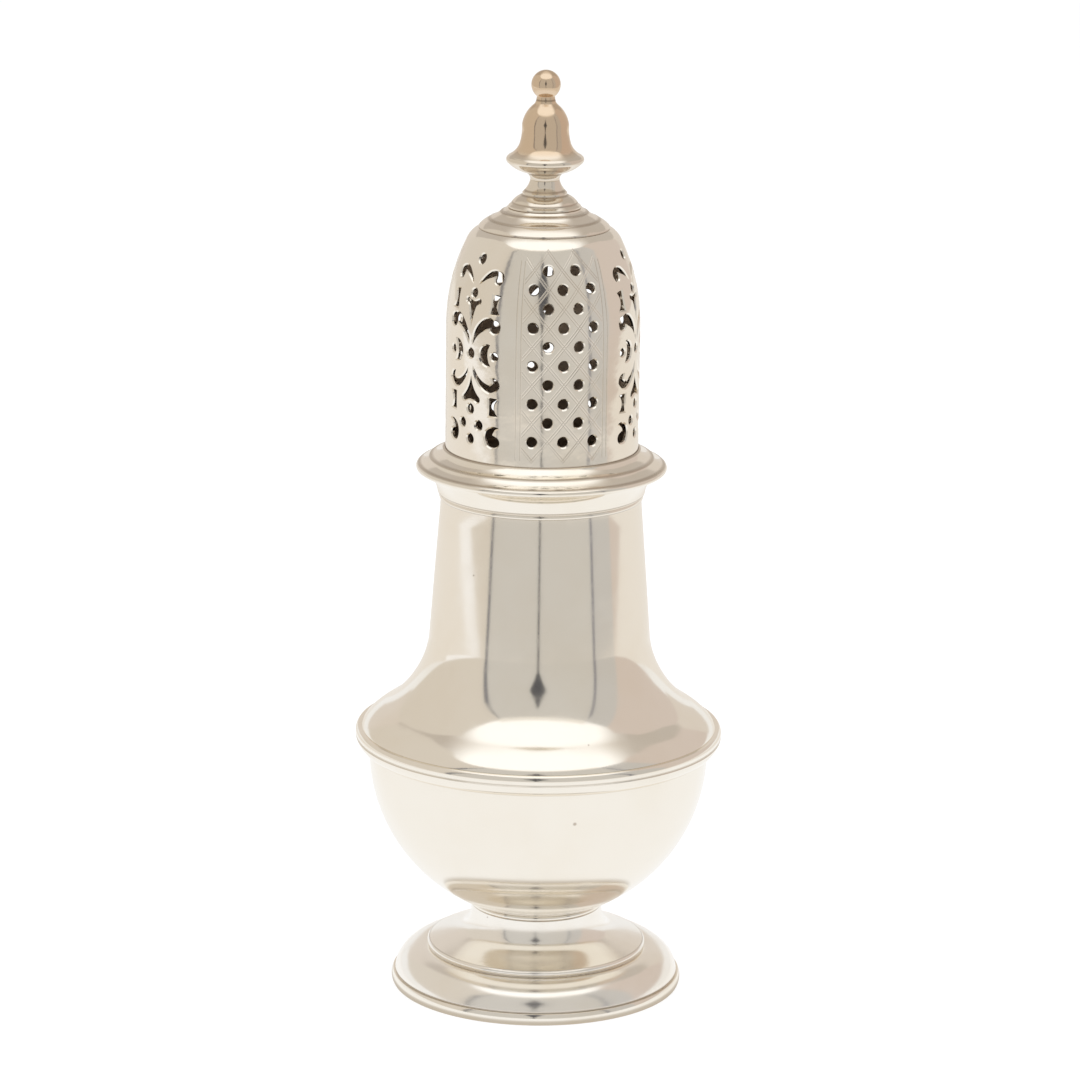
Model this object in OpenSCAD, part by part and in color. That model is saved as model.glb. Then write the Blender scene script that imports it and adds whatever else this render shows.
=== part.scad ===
// Silver sugar caster: a baluster body on a domed foot, with a pierced cover that lifts off.
// Every piece is turned about the Z axis, the foot stands on z = 0, and sizes are in millimetres.

/* [Foot] */
// Radius of the foot at its rim
foot_r = 28; // [26:0.5:31]
// Height of the moulded rim under the foot
foot_rim_h = 2.2; // [1.6:0.1:2.8]
// Width of the rim's flat underside and body
foot_rim_w = 2.6; // [2:0.1:3.4]
// Height of the foot, rim included
foot_h = 15.6; // [13:0.2:18]
// Radius of the step's edge, half way up the foot
foot_step_r = 20.9; // [19.6:0.1:22.2]
// Height of that edge above the table
foot_step_z = 8.4; // [7.8:0.1:9]
// Height of the step, from the crease under it to its edge
foot_step_h = 1.3; // [1:0.1:1.7]
// How far the crease lies in under the edge
foot_step_in = 0.2; // [0.1:0.1:0.6]
// Thickness of the foot's sheet
foot_wall = 0.9; // [0.6:0.1:1.2]

/* [Body] */
// Radius of the collar between foot and bowl
collar_r = 12.6; // [11:0.2:14]
// Height of the collar at its outside
collar_h = 0.9; // [0.6:0.1:2]
// Width of the collar ring
collar_w = 1.2; // [0.9:0.1:1.8]
// Outside radius of the round bowl
bowl_r = 32.5; // [29:0.5:36]
// Straight band of the bowl, from its centre up to the girdle's top
bowl_band_h = 4.9; // [4.6:0.1:7]
// Thickness of the body's sheet
body_wall = 0.8; // [0.5:0.1:1]
// How far the shoulder stands out past the bowl
shoulder_over = 1.5; // [1.2:0.1:2]
// Height of the upper body, from the girdle to the mouth
upper_h = 50.4; // [44:0.2:58]
// Height above the girdle where the shoulder has become the neck
neck_low_h = 18.2; // [16:0.2:22]
// Radius of the neck just above the shoulder
neck_low_r = 21.1; // [20:0.1:23]
// Radius of the neck at the mouth
neck_r = 19.05; // [18.2:0.05:19.8]
// Straight length of the neck under the mouth
neck_straight_h = 5.6; // [4:0.1:8]

/* [Mouldings] */
// Height of the girdle round the body
girdle_h = 4.2; // [3.4:0.1:4.6]
// How far the girdle stands out past the bowl
girdle_w = 2.6; // [2.3:0.1:3.4]
// Height of the groove between the girdle's two reeds, above its underside
girdle_split_h = 2.4; // [2:0.1:2.8]
// Height of the moulding round the mouth
neck_rim_h = 5.3; // [4.4:0.1:6.4]
// How far that moulding stands out past the neck, at its top
neck_rim_over = 2.75; // [2:0.05:3.1]

/* [Cover] */
// Depth of the cover's sleeve inside the neck
sleeve_l = 13; // [8:0.5:20]
// Thickness of the sleeve
sleeve_wall = 0.7; // [0.5:0.1:0.9]
// How far the cover's flange stands out past the moulding it rests on
flange_over = 2; // [1.2:0.1:3.2]
// Height of the flange's rim
flange_rim_h = 1.35; // [1:0.05:1.6]
// Height of the flange moulding
flange_h = 4.5; // [4.2:0.1:5.5]
// Height of the dome's foot inside the flange, above the mouth
ledge_h = 2.4; // [1.8:0.1:2.8]
// How far the dome's wall stands out past the sleeve
dome_over = 0.2; // [0.1:0.05:0.4]
// Thickness of the dome's sheet
dome_wall = 0.7; // [0.5:0.1:0.9]
// Height of the dome's straight wall
dome_straight_h = 25.8; // [24:0.2:30]
// Radius of the dome's arch, in section
dome_arch_r = 37; // [33:0.5:42]
// Height of the arch above the straight wall
dome_arch_h = 16; // [15.6:0.2:18]
// Height of the turn from the arch to the flat top
dome_turn_h = 2.4; // [2:0.1:3.2]
// Radius of the cap on the dome
cap_r = 12.4; // [11.9:0.1:12.9]
// Height of the cap
cap_h = 3.8; // [3.2:0.1:4.6]
// Height of the step on the cap
cap_step_h = 1.7; // [1.4:0.1:1.9]
// How far in from the cap's edge its step lies
cap_step_in = 2; // [1.6:0.1:2.4]
// Thickness of the cap's sheet
cap_wall = 0.8; // [0.6:0.1:1]

/* [Piercing] */
// Diameter of the round holes in the lattice panels
lattice_hole_d = 1.9; // [1.4:0.1:2.2]
// Rows of holes in a lattice panel
lattice_rows = 10; // [8:1:10]
// Distance between rows, along the wall
lattice_pitch = 3.6; // [3.2:0.1:3.7]
// Distance between holes in a row
lattice_step = 5.95; // [5:0.05:6.2]
// Height of the lowest row above the dome's foot
lattice_low_h = 6.9; // [6.4:0.1:8]
// Height of a scroll panel's middle hole above the dome's foot
scroll_h = 22.6; // [22:0.1:23]

/* [Finial] */
// Radius of the pedestal on the cap
pedestal_r = 6.8; // [6:0.1:7]
// Height of the pedestal
pedestal_h = 5.3; // [4.6:0.1:6.5]
// Height of the pedestal's step
pedestal_step_h = 2.5; // [2.1:0.1:2.8]
// Radius of the pedestal's step
pedestal_step_r = 4.2; // [3.9:0.1:4.6]
// Radius of the finial's waist
waist_r = 2.75; // [2.4:0.05:3]
// Radius of the finial's disc
disc_r = 7.3; // [6.4:0.1:8.4]
// Height of the waist, from the pedestal to the disc's underside
waist_h = 3.2; // [2.6:0.1:4]
// Height of the disc's edge
disc_h = 1.2; // [0.9:0.1:1.6]
// Height of the bell above the disc's edge
bell_h = 10; // [9:0.1:12]
// Radius of the bell
bell_r = 4.4; // [4:0.1:4.8]
// Radius of the neck under the ball
ball_neck_r = 1.7; // [1.4:0.05:2]
// Height of that neck
ball_neck_h = 1.3; // [0.6:0.1:1.6]
// Radius of the ball on top
ball_r = 2.75; // [2.4:0.05:3.2]
// Radius of the peg that holds the finial
peg_r = 1.2; // [0.9:0.1:1.5]

/* [Hidden] */

// Clearances: a soldered seam, the sliding fit of the sleeve, and the peg in its holes
solder_gap = 0.05;
slip_gap = 0.15;
peg_gap = 0.05;

// Levels, from the table up
bowl_z = foot_h + collar_h + sqrt(bowl_r * bowl_r - collar_r * collar_r);
girdle_top = bowl_z + bowl_band_h;
mouth_z = girdle_top + upper_h;
ledge_z = mouth_z + ledge_h;
flange_top = mouth_z + flange_h;
spring_z = ledge_z + dome_straight_h;
dome_top = spring_z + dome_arch_h + dome_turn_h;
cap_top = dome_top + cap_h;
pedestal_top = cap_top + pedestal_h;
disc_z = pedestal_top + waist_h;

// Radii that follow from the fits
sleeve_r = neck_r - body_wall - slip_gap;
dome_r = sleeve_r + dome_over;
shoulder_r = bowl_r + shoulder_over;
neck_rim_r = neck_r + neck_rim_over;
flange_r = neck_rim_r + flange_over;
peg_hole_r = peg_r + peg_gap;

// Small steps and reeds of the mouldings
bead = 0.3;
fillet = 0.4;
groove = 0.15;
seat_w = 1.1;
peg_end = 0.3;
knop_h = 2;
bell_foot_h = 2.4;
bell_wall_h = 3.6;
cap_swell = 0.12;

// Shape of the foot: how far its slope rises, and the lean at the step and handles of the hollow above it
slope_rise = 1.55;
hollow_lean = 16;
hollow_reach = [6.5, 5.6];

// Directions of the shoulder's curve, in degrees from level, and the reach of its handles
shoulder_turn = [4.5, 4];
shoulder_dirs = [115, 148, 94];
shoulder_reach = [1.6, 2, 4.5, 6];

// Smoothness of turned pieces, arcs and round holes
turn_fn = 144;
hole_fn = 24;
cut_depth = 3;

// Panels round the dome, measured from the front towards +X
panel_count = 3;
lattice_turn = 12.5;
scroll_turn = lattice_turn - 60;

// Openings of a scroll panel as [across, up, bulge of the edge to the next point], from its middle hole.
// The two trumpets give their right half, from the lower to the upper point on the axis.
trumpets = [
    [[0, 5.2, -0.15], [0.75, 8.8, -0.2], [1.85, 9.6, 0.35], [1.5, 10.3, -0.12], [0, 9.8, 0]],
    [[0, -8.75, -0.1], [1.6, -9.2, 0.45], [2.1, -8.25, -0.5], [0, -3.9, 0]]];
v_arm = [[0.9, 13.2, -0.35], [4.9, 15.2, 0.15], [4.8, 14.1, 0.5], [6.3, 14, 0.35], [6.2, 15.6, 0.35],
    [3.4, 15.85, 0.25]];
upper_bracket = [[4.5, 7.9, 0], [6.4, 7.9, -0.7], [6.4, 11.3, 0], [4.8, 11.6, -0.15]];
upper_leaf = [[0.5, 1.9, -0.65], [4.6, 5.3, 0.15], [5, 4.6, 0.6], [6.7, 5.3, 0.6], [5.3, 6.8, 0.25],
    [3.2, 6.8, 0.75]];
crescent = [[4.5, 2, 0.7], [2.4, 0, 0.7], [4.7, -1.95, -0.6]];
lower_leaf = [[0.8, -2.6, 0.9], [4.6, -7, 0.3], [6.7, -5.6, 0.5], [5.1, -4.2, -0.1], [5.4, -5.2, 0],
    [4.7, -5.75, -0.65]];
lower_bracket = [[4.5, -11.4, 0], [6.4, -11.4, -0.8], [6.4, -8.1, 0], [4.5, -8.1, -0.1]];
bottom_scroll = [[6.7, -13.6, 0.35], [4.1, -14.2, 0.45], [4.2, -16.9, 0.4], [6.4, -17, 0.55], [6, -15.4, 0.1],
    [5.2, -15.2, -0.45]];
side_openings = [v_arm, upper_bracket, upper_leaf, crescent, lower_leaf, lower_bracket, bottom_scroll];
// Round holes of a scroll panel as [across, up, diameter]
scroll_holes = [[0, 17.9, 1.9], [0, 11.4, 1.6], [0, 0, 1.75], [0, -10.6, 1.75], [0, -16.35, 1.75],
    [2.2, -13.5, 1.7], [-2.2, -13.5, 1.7], [5.65, 0, 1.5], [-5.65, 0, 1.5]];

// Points of an arc from p to q, without q; the arc rises by b to the right of the way from p to q
function arc(p, q, b, n = 6) =
    b == 0 ? [p] :
    let (d = q - p, l = norm(d), r = (l * l / 4 + b * b) / (2 * b), right = [d.y, -d.x] / l)
    let (c = (p + q) / 2 + right * (b - r), start = atan2(p.y - c.y, p.x - c.x), turn = 4 * atan(2 * b / l))
    [for (i = [0:n - 1]) c + abs(r) * [cos(start + turn * i / n), sin(start + turn * i / n)]];

function flat(v) = [v[0], v[1]];

// An open path through points given as [radius, height, bulge of the edge to the next point]
function trace(v) = concat(
    [for (i = [0:len(v) - 2]) each arc(flat(v[i]), flat(v[i + 1]), v[i][2])], [flat(v[len(v) - 1])]);

// The same as a closed outline
function outline(v) = [for (i = [0:len(v) - 1]) each arc(flat(v[i]), flat(v[(i + 1) % len(v)]), v[i][2])];

// A right half from axis to axis, made whole by its mirror image
function whole(h) =
    let (n = len(h))
    concat([for (i = [0:n - 2]) h[i]], [[h[n - 1][0], h[n - 1][1], h[n - 2][2]]],
        [for (i = [n - 2:-1:1]) [-h[i][0], h[i][1], h[i - 1][2]]]);

// A smooth curve from a to d, with its handles at b and c
function curve(a, b, c, d, n = 18) =
    [for (i = [0:n])
        let (t = i / n, u = 1 - t)
        u * u * u * a + 3 * u * u * t * b + 3 * u * t * t * c + t * t * t * d];

function heading(a) = [cos(a), sin(a)];

// A path that goes up, moved by t towards the axis; its ends keep their heights
function inset(path, t) =
    let (n = len(path) - 1)
    [for (i = [0:n])
        let (d = path[min(i + 1, n)] - path[max(i - 1, 0)], p = path[i] + t * [-d.y, d.x] / norm(d))
        i == 0 || i == n ? [p.x, path[i].y] : p];

function backwards(path) = [for (i = [len(path) - 1:-1:0]) path[i]];

function middle(v) =
    [min([for (p = v) p.x]) + max([for (p = v) p.x]), min([for (p = v) p.y]) + max([for (p = v) p.y])] / 2;

// A quarter of the bowl's section, from its lowest point out to its side
function quarter(r) = [for (i = [0:30]) [r * sin(i * 3), bowl_z - r * cos(i * 3)]];

// Height and radius of the dome's wall at the distance s along it from the spring of its arch
function wall_turn(s) = max(0, s) / dome_arch_r * 180 / PI;
function wall_z(s) = spring_z + min(0, s) + dome_arch_r * sin(wall_turn(s));
function wall_r(s) = dome_r - dome_arch_r * (1 - cos(wall_turn(s)));

module turned(path) {
    rotate_extrude($fn = turn_fn) polygon(path);
}

module foot_rim() {
    inner_r = foot_r - foot_rim_w;
    edge_r = foot_r - bead;
    color("#bdb3a6") turned(trace([
        [inner_r, 0, 0], [edge_r, 0, bead], [edge_r, foot_rim_h, 0], [inner_r, foot_rim_h, 0]]));
}

// The foot's slope, the step that stands out over it, and the hollow rise to the collar
module foot() {
    edge_r = foot_r - bead - fillet;
    slope_low = foot_rim_h + fillet;
    crease = [foot_step_r - foot_step_in, foot_step_z - foot_step_h];
    behind_r = crease.x - foot_wall;
    slope = trace([
        [edge_r, foot_rim_h, 0], [edge_r, slope_low, slope_rise], [crease.x + groove, crease.y, 0],
        [crease.x, crease.y + groove, bead], [foot_step_r, foot_step_z - groove, 0]]);
    low = [foot_step_r - groove, foot_step_z];
    top = [collar_r, foot_h];
    hollow = curve(low, low + hollow_reach[0] * heading(180 - hollow_lean),
        top + [groove, -hollow_reach[1]], top);
    inner = [for (p = inset(hollow, foot_wall)) if (p.x < behind_r) p];
    under = trace([
        [edge_r - foot_wall, foot_rim_h, 0], [edge_r - foot_wall, slope_low - groove, slope_rise],
        [crease.x - foot_wall / 2, crease.y - foot_wall, 0], [behind_r, crease.y, 0]]);
    color("#c9c0b2") turned(concat(slope, hollow, backwards(inner), backwards(under)));
}

module foot_collar() {
    inner_r = collar_r - collar_w;
    steps = 4;
    seat = [for (i = [0:steps])
        let (r = collar_r - collar_w * i / steps) [r, bowl_z - sqrt(pow(bowl_r + solder_gap, 2) - r * r)]];
    color("#b5aa9a") turned(concat([[inner_r, foot_h]], arc([collar_r, foot_h], seat[0], groove), seat));
}

module bowl() {
    inner_r = bowl_r - body_wall;
    color("#e6e0d4") turned(concat(
        quarter(bowl_r), [[bowl_r, girdle_top], [inner_r, girdle_top]], backwards(quarter(inner_r))));
}

// Two reeds with a groove between them; the bowl is soldered inside and the upper body stands on top
module girdle() {
    inner_r = bowl_r + solder_gap;
    outer_r = bowl_r + girdle_w;
    low = girdle_top - girdle_h;
    split = low + girdle_split_h;
    color("#c3baac") turned(trace([
        [inner_r, low, 0], [inner_r + 2 * fillet, low, bead], [outer_r, split - groove, 0],
        [outer_r - groove, split, 0], [outer_r - groove, split + groove, bead],
        [outer_r - fillet, girdle_top, 0], [inner_r, girdle_top, 0]]));
}

// The shoulder rolls over at its edge, sweeps up in a hollow curve and becomes the tapering neck
module upper_body() {
    edge = [shoulder_r, girdle_top];
    turn = edge + [-shoulder_turn.x, shoulder_turn.y];
    neck_low = [neck_low_r, girdle_top + neck_low_h];
    roll = curve(edge, edge + shoulder_reach[0] * heading(shoulder_dirs[0]),
        turn - shoulder_reach[1] * heading(shoulder_dirs[1]), turn, 10);
    sweep = curve(turn, turn + shoulder_reach[2] * heading(shoulder_dirs[1]),
        neck_low - shoulder_reach[3] * heading(shoulder_dirs[2]), neck_low, 20);
    neck_top = [[neck_r, mouth_z - neck_straight_h], [neck_r, mouth_z]];
    path = concat(roll, [for (i = [1:len(sweep) - 1]) sweep[i]], neck_top);
    inner_top = [[neck_r - body_wall, mouth_z - neck_straight_h], [neck_r - body_wall, mouth_z]];
    inside = inset(path, body_wall);
    inner = concat([for (i = [0:len(inside) - 3]) inside[i]], inner_top);
    color("#d8d0c2") turned(concat(path, backwards(inner)));
}

// A reed, a groove and a hollow flare up to the mouth
module neck_rim() {
    inner_r = neck_r + solder_gap;
    low = mouth_z - neck_rim_h;
    reed_top = low + 2 * fillet;
    color("#d3cabc") turned(trace([
        [inner_r, low, 0], [inner_r + groove, low, groove], [inner_r + groove, reed_top, 0],
        [inner_r + groove, reed_top + fillet, 0], [inner_r + 2 * bead, reed_top + fillet, -fillet],
        [neck_rim_r, mouth_z - groove, 0], [neck_rim_r, mouth_z, 0], [inner_r, mouth_z, 0]]));
}

module cover_sleeve() {
    inner_r = sleeve_r - sleeve_wall;
    low = mouth_z - sleeve_l;
    color("#bfb6a8") turned([[inner_r, low], [sleeve_r, low], [sleeve_r, ledge_z], [inner_r, ledge_z]]);
}

// The flange rests on the mouth, and holds the sleeve below and the dome's foot above
module cover_flange() {
    sleeve_bore = sleeve_r + solder_gap;
    dome_bore = dome_r + solder_gap;
    rim_r = flange_r - bead;
    rim_top = mouth_z + flange_rim_h;
    mid_r = (rim_r + dome_bore + fillet) / 2;
    mid_z = (rim_top + flange_top) / 2 - bead;
    color("#c8bfb0") turned(trace([
        [sleeve_bore, mouth_z, 0], [rim_r - fillet, mouth_z, 0], [rim_r, mouth_z + groove, bead],
        [rim_r, rim_top - groove, 0], [rim_r - groove, rim_top, -groove], [mid_r + groove, mid_z, 0],
        [mid_r, mid_z + groove, -bead], [dome_bore + fillet, flange_top - groove, 0],
        [dome_bore + groove, flange_top, 0], [dome_bore, flange_top, 0], [dome_bore, ledge_z, 0],
        [sleeve_bore, ledge_z, 0]]));
}

// Section of the dome's outside, or of its inside when wall is its thickness
function dome_path(wall) =
    let (arch_r = dome_arch_r - wall, top = dome_top - wall)
    let (end = asin(dome_arch_h / dome_arch_r), centre_r = dome_r - dome_arch_r)
    concat([[dome_r - wall, ledge_z]],
        [for (i = [0:8]) [centre_r + arch_r * cos(end * i / 8), spring_z + arch_r * sin(end * i / 8)]],
        arc([centre_r + arch_r * cos(end), spring_z + arch_r * sin(end)], [cap_r - wall / 2, top],
            2 * groove),
        [[cap_r - wall / 2, top], [peg_hole_r, top]]);

// One cut through the dome's wall, x across from the panel's axis and s along the wall from the arch's spring
module pierce(panel, x, s) {
    rotate([0, 0, panel + x / dome_r * 180 / PI])
        translate([0, -wall_r(s), wall_z(s)])
        rotate([90 - wall_turn(s), 0, 0])
        linear_extrude(cut_depth, center = true)
        children();
}

module lattice_panel(panel) {
    low_s = lattice_low_h - dome_straight_h;
    for (row = [0:lattice_rows - 1]) {
        count = row % 2 == 0 ? 3 : 2;
        for (i = [0:count - 1])
            pierce(panel, (i - (count - 1) / 2) * lattice_step, low_s + row * lattice_pitch)
                circle(d = lattice_hole_d, $fn = hole_fn);
    }
}

module scroll_panel(panel) {
    middle_s = scroll_h - dome_straight_h;
    for (h = scroll_holes)
        pierce(panel, h.x, middle_s + h.y) circle(d = h.z, $fn = hole_fn);
    for (half = trumpets) {
        shape = outline(whole(half));
        at = middle(shape);
        pierce(panel, 0, middle_s + at.y) translate(-at) polygon(shape);
    }
    for (opening = side_openings) {
        shape = outline(opening);
        at = middle(shape);
        pierce(panel, at.x, middle_s + at.y) translate(-at) polygon(shape);
        pierce(panel, -at.x, middle_s + at.y) mirror([1, 0, 0]) translate(-at) polygon(shape);
    }
}

module cover_dome() {
    color("#d9d1c4") difference() {
        rotate([0, 0, lattice_turn]) turned(concat(dome_path(0), backwards(dome_path(dome_wall))));
        for (i = [0:panel_count - 1]) {
            lattice_panel(lattice_turn + i * 360 / panel_count);
            scroll_panel(scroll_turn + i * 360 / panel_count);
        }
    }
}

// A thin moulded cap, hollow underneath, that stands on the dome's flat top
module cover_cap() {
    seat_r = cap_r - seat_w;
    step_r = cap_r - cap_step_in;
    step_z = dome_top + cap_step_h;
    top_r = pedestal_r + bead;
    ring_r = top_r + 3 * fillet;
    ring_z = cap_top - 2 * fillet;
    roof = cap_top - cap_wall;
    color("#cdc4b6") turned(trace([
        [cap_r, dome_top, 0], [cap_r - groove, dome_top + fillet, cap_swell], [step_r, step_z, 0],
        [step_r - groove, step_z + groove, -groove], [ring_r, ring_z, 0],
        [ring_r - groove, ring_z + groove, -groove], [top_r, cap_top, 0], [peg_hole_r, cap_top, 0],
        [peg_hole_r, roof, 0], [top_r - cap_wall, roof, bead], [step_r - cap_wall, step_z - cap_wall, 0],
        [seat_r, dome_top, 0]]));
}

// Stepped like a small turned column base
module finial_pedestal() {
    low_z = cap_top + 2.5 * fillet;
    step_z = cap_top + pedestal_step_h;
    base_r = pedestal_r - 2 * bead;
    color("#c6bcae") turned(trace([
        [peg_hole_r, cap_top, 0], [pedestal_r, cap_top, 0], [pedestal_r, cap_top + fillet, 0],
        [base_r, low_z - groove, 0], [base_r, low_z, groove], [pedestal_step_r + bead, step_z - groove, 0],
        [pedestal_step_r, step_z, 0], [pedestal_step_r, step_z + fillet, 0],
        [pedestal_step_r - fillet, step_z + 2 * fillet, -groove], [waist_r, pedestal_top, 0],
        [peg_hole_r, pedestal_top, 0]]));
}

// One casting: waist, disc, bell and ball, with a peg down through the pedestal, the cap and the dome
module finial() {
    peg_z = dome_top - dome_wall - peg_end;
    lip_r = disc_r - bead;
    lip_top = disc_z + disc_h;
    knop_r = waist_r + 2 * bead;
    knop_z = disc_z - knop_h;
    bell_low = lip_top + bell_foot_h;
    bell_top = lip_top + bell_h;
    ball_low = asin(ball_neck_r / ball_r);
    ball_z = bell_top + ball_neck_h + ball_r * cos(ball_low);
    steps = 16;
    ball = [for (i = [0:steps])
        let (a = ball_low + (180 - ball_low) * i / steps) [ball_r * sin(a), ball_z - ball_r * cos(a)]];
    color("#c4aa8c") turned(concat(
        trace([
            [0, peg_z, 0], [peg_r, peg_z, 0], [peg_r, pedestal_top, 0], [waist_r, pedestal_top, -groove],
            [knop_r, knop_z, 0], [knop_r + groove, knop_z + groove, bead],
            [lip_r, disc_z, bead], [lip_r, lip_top, 0], [lip_r - groove, lip_top + groove, -bead],
            [bell_r + fillet, bell_low, -groove], [bell_r, bell_low + bell_wall_h, fillet],
            [ball_neck_r + 2 * bead, bell_top - bead, 0], [ball_neck_r + bead, bell_top, -groove / 2]]),
        ball));
}

foot_rim();
foot();
foot_collar();
bowl();
girdle();
upper_body();
neck_rim();
cover_sleeve();
cover_flange();
cover_dome();
cover_cap();
finial_pedestal();
finial();
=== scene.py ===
# %% [markdown]
# # A silver sugar caster
# The caster is a set of turned pieces round one upright axis: a foot, a bowl, a neck and a cover. The CAD part
# fixes their sizes and joints. This lesson dresses it: every piece is turned again with a smoother surface, the
# cover is pierced, and polished silver reflects a small studio.

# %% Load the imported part
import math

import bpy
import numpy as np
from mathutils import Matrix, Vector


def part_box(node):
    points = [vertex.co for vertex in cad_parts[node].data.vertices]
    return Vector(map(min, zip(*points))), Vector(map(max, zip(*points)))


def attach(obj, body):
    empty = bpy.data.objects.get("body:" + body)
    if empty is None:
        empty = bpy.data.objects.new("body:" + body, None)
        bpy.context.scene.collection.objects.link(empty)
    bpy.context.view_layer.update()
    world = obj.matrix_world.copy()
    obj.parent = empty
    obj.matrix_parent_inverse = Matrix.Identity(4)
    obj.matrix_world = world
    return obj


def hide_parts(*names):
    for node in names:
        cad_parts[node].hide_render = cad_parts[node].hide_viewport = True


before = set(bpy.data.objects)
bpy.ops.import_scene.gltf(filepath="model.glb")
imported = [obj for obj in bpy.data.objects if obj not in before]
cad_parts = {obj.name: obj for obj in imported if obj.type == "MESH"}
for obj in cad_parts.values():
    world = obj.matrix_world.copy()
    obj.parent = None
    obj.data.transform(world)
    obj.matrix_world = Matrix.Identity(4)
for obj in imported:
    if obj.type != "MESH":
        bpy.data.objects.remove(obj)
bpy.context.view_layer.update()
print("CAD nodes:", ", ".join(sorted(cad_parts)))

# %% [markdown]
# ## The camera
# The camera stands where the photograph was taken: 0.93 m from the middle of the caster and a little above it,
# with a long lens, so that round rims show as narrow ellipses. The picture is turned a little, so the camera is
# rolled.

# %% Camera
MM = 0.001
AIM = Vector((0, 0, 87.86 * MM))
DISTANCE = 930 * MM
LOOK_DOWN = math.radians(14.3)
ROLL = math.radians(0.68)


def add_object(name, data):
    made = bpy.data.objects.new(name, data)
    bpy.context.collection.objects.link(made)
    return made


camera = add_object("camera", bpy.data.cameras.new("camera"))
camera.location = AIM + DISTANCE * Vector((0, -math.cos(LOOK_DOWN), math.sin(LOOK_DOWN)))
towards = (AIM - camera.location).to_track_quat("-Z", "Y")
camera.rotation_euler = (towards.to_matrix() @ Matrix.Rotation(ROLL, 3, "Z")).to_euler()
camera.data.sensor_width = 36
camera.data.lens = 162.8
camera.data.shift_x = -0.0006
bpy.context.scene.camera = camera
bpy.context.scene.view_settings.view_transform = "Standard"
print("camera at", [round(x, 3) for x in camera.location])

# %% [markdown]
# ## Sizes from the frame
# A piece that stands for a CAD node has to sit exactly where the node is. So the main radii and heights are
# read from the boxes of the nodes, in millimetres, and only small steps of the mouldings are written here.


# %% Read the main sizes
def low(node):
    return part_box(node)[0].z / MM


def top(node):
    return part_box(node)[1].z / MM


def wide(node):
    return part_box(node)[1].x / MM


SOLDER_GAP = 0.05
BODY_SHEET = 0.8
FOOT_SHEET = 0.9
COVER_SHEET = 0.7
BEAD = 0.3
FILLET = 0.4
GROOVE = 0.15
SLIDE_GAP = 0.15

foot_r, foot_rim_h, foot_h = wide("foot_rim"), top("foot_rim"), top("foot")
collar_r = wide("foot_collar") - GROOVE
bowl_r = wide("bowl")
bowl_z = low("bowl") + bowl_r
girdle_low, girdle_top = low("girdle"), top("girdle")
shoulder_r, mouth_z = wide("upper_body"), top("upper_body")
sleeve_r, sleeve_low, ledge_z = wide("cover_sleeve"), low("cover_sleeve"), top("cover_sleeve")
neck_r = sleeve_r + BODY_SHEET + SLIDE_GAP
dome_r, dome_top = wide("cover_dome"), top("cover_dome")
cap_r, cap_top = wide("cover_cap"), top("cover_cap")
pedestal_r, pedestal_top = wide("finial_pedestal"), top("finial_pedestal")
print(f"bowl radius {bowl_r:.2f} mm, mouth at {mouth_z:.2f} mm, ball's top at {top('finial'):.2f} mm")

# %% [markdown]
# ## Drawing a profile
# A turned piece is drawn as half of its section: points with a radius and a height. Mouldings are made of short
# arcs, so each corner may carry the rise of the arc that leads to the next one. Real edges are never quite
# sharp, so every corner is rounded a little, which lets it catch a thin line of light.

# %% Arcs, curves and rounded corners
ARC_STEP = math.radians(5)
CORNER = math.radians(14)
CORNER_SHARE = 0.42


def arc(p, q, rise):
    """Points of an arc from p to q, without q, that rises to the right of the way from p to q."""
    p, q = Vector(p), Vector(q)
    if abs(rise) < 1e-4:
        return [p]
    way = q - p
    right = Vector((way.y, -way.x)).normalized()
    radius = (way.length_squared / 4 + rise * rise) / (2 * rise)
    centre = (p + q) / 2 + right * (rise - radius)
    start = math.atan2(p.y - centre.y, p.x - centre.x)
    sweep = 4 * math.atan(2 * rise / way.length)
    steps = max(3, math.ceil(abs(sweep) / ARC_STEP))
    angles = [start + sweep * i / steps for i in range(steps)]
    return [centre + abs(radius) * Vector((math.cos(a), math.sin(a))) for a in angles]


def trace(*corners):
    """A path through corners (radius, height) or (radius, height, rise of the arc to the next corner)."""
    points = []
    for here, after in zip(corners, corners[1:]):
        points += arc(here[:2], after[:2], here[2] if len(here) > 2 else 0)
    return points + [Vector(corners[-1][:2])]


def curve(a, b, c, d, steps=24):
    """A smooth curve from a to d with handles b and c."""
    a, b, c, d = map(Vector, (a, b, c, d))
    ts = [i / steps for i in range(steps + 1)]
    return [(1 - t) ** 3 * a + 3 * (1 - t) ** 2 * t * b + 3 * (1 - t) * t * t * c + t ** 3 * d for t in ts]


def inset(path, depth):
    """A rising path moved towards the axis; its ends keep their heights."""
    moved = []
    for i, p in enumerate(path):
        way = path[min(i + 1, len(path) - 1)] - path[max(i - 1, 0)]
        q = p + depth * Vector((-way.y, way.x)).normalized()
        moved.append(Vector((q.x, p.y)) if i in (0, len(path) - 1) else q)
    return moved


def heading(degrees, reach):
    """A step of a given reach in a direction, in degrees from level."""
    return reach * Vector((math.cos(math.radians(degrees)), math.sin(math.radians(degrees))))


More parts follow.
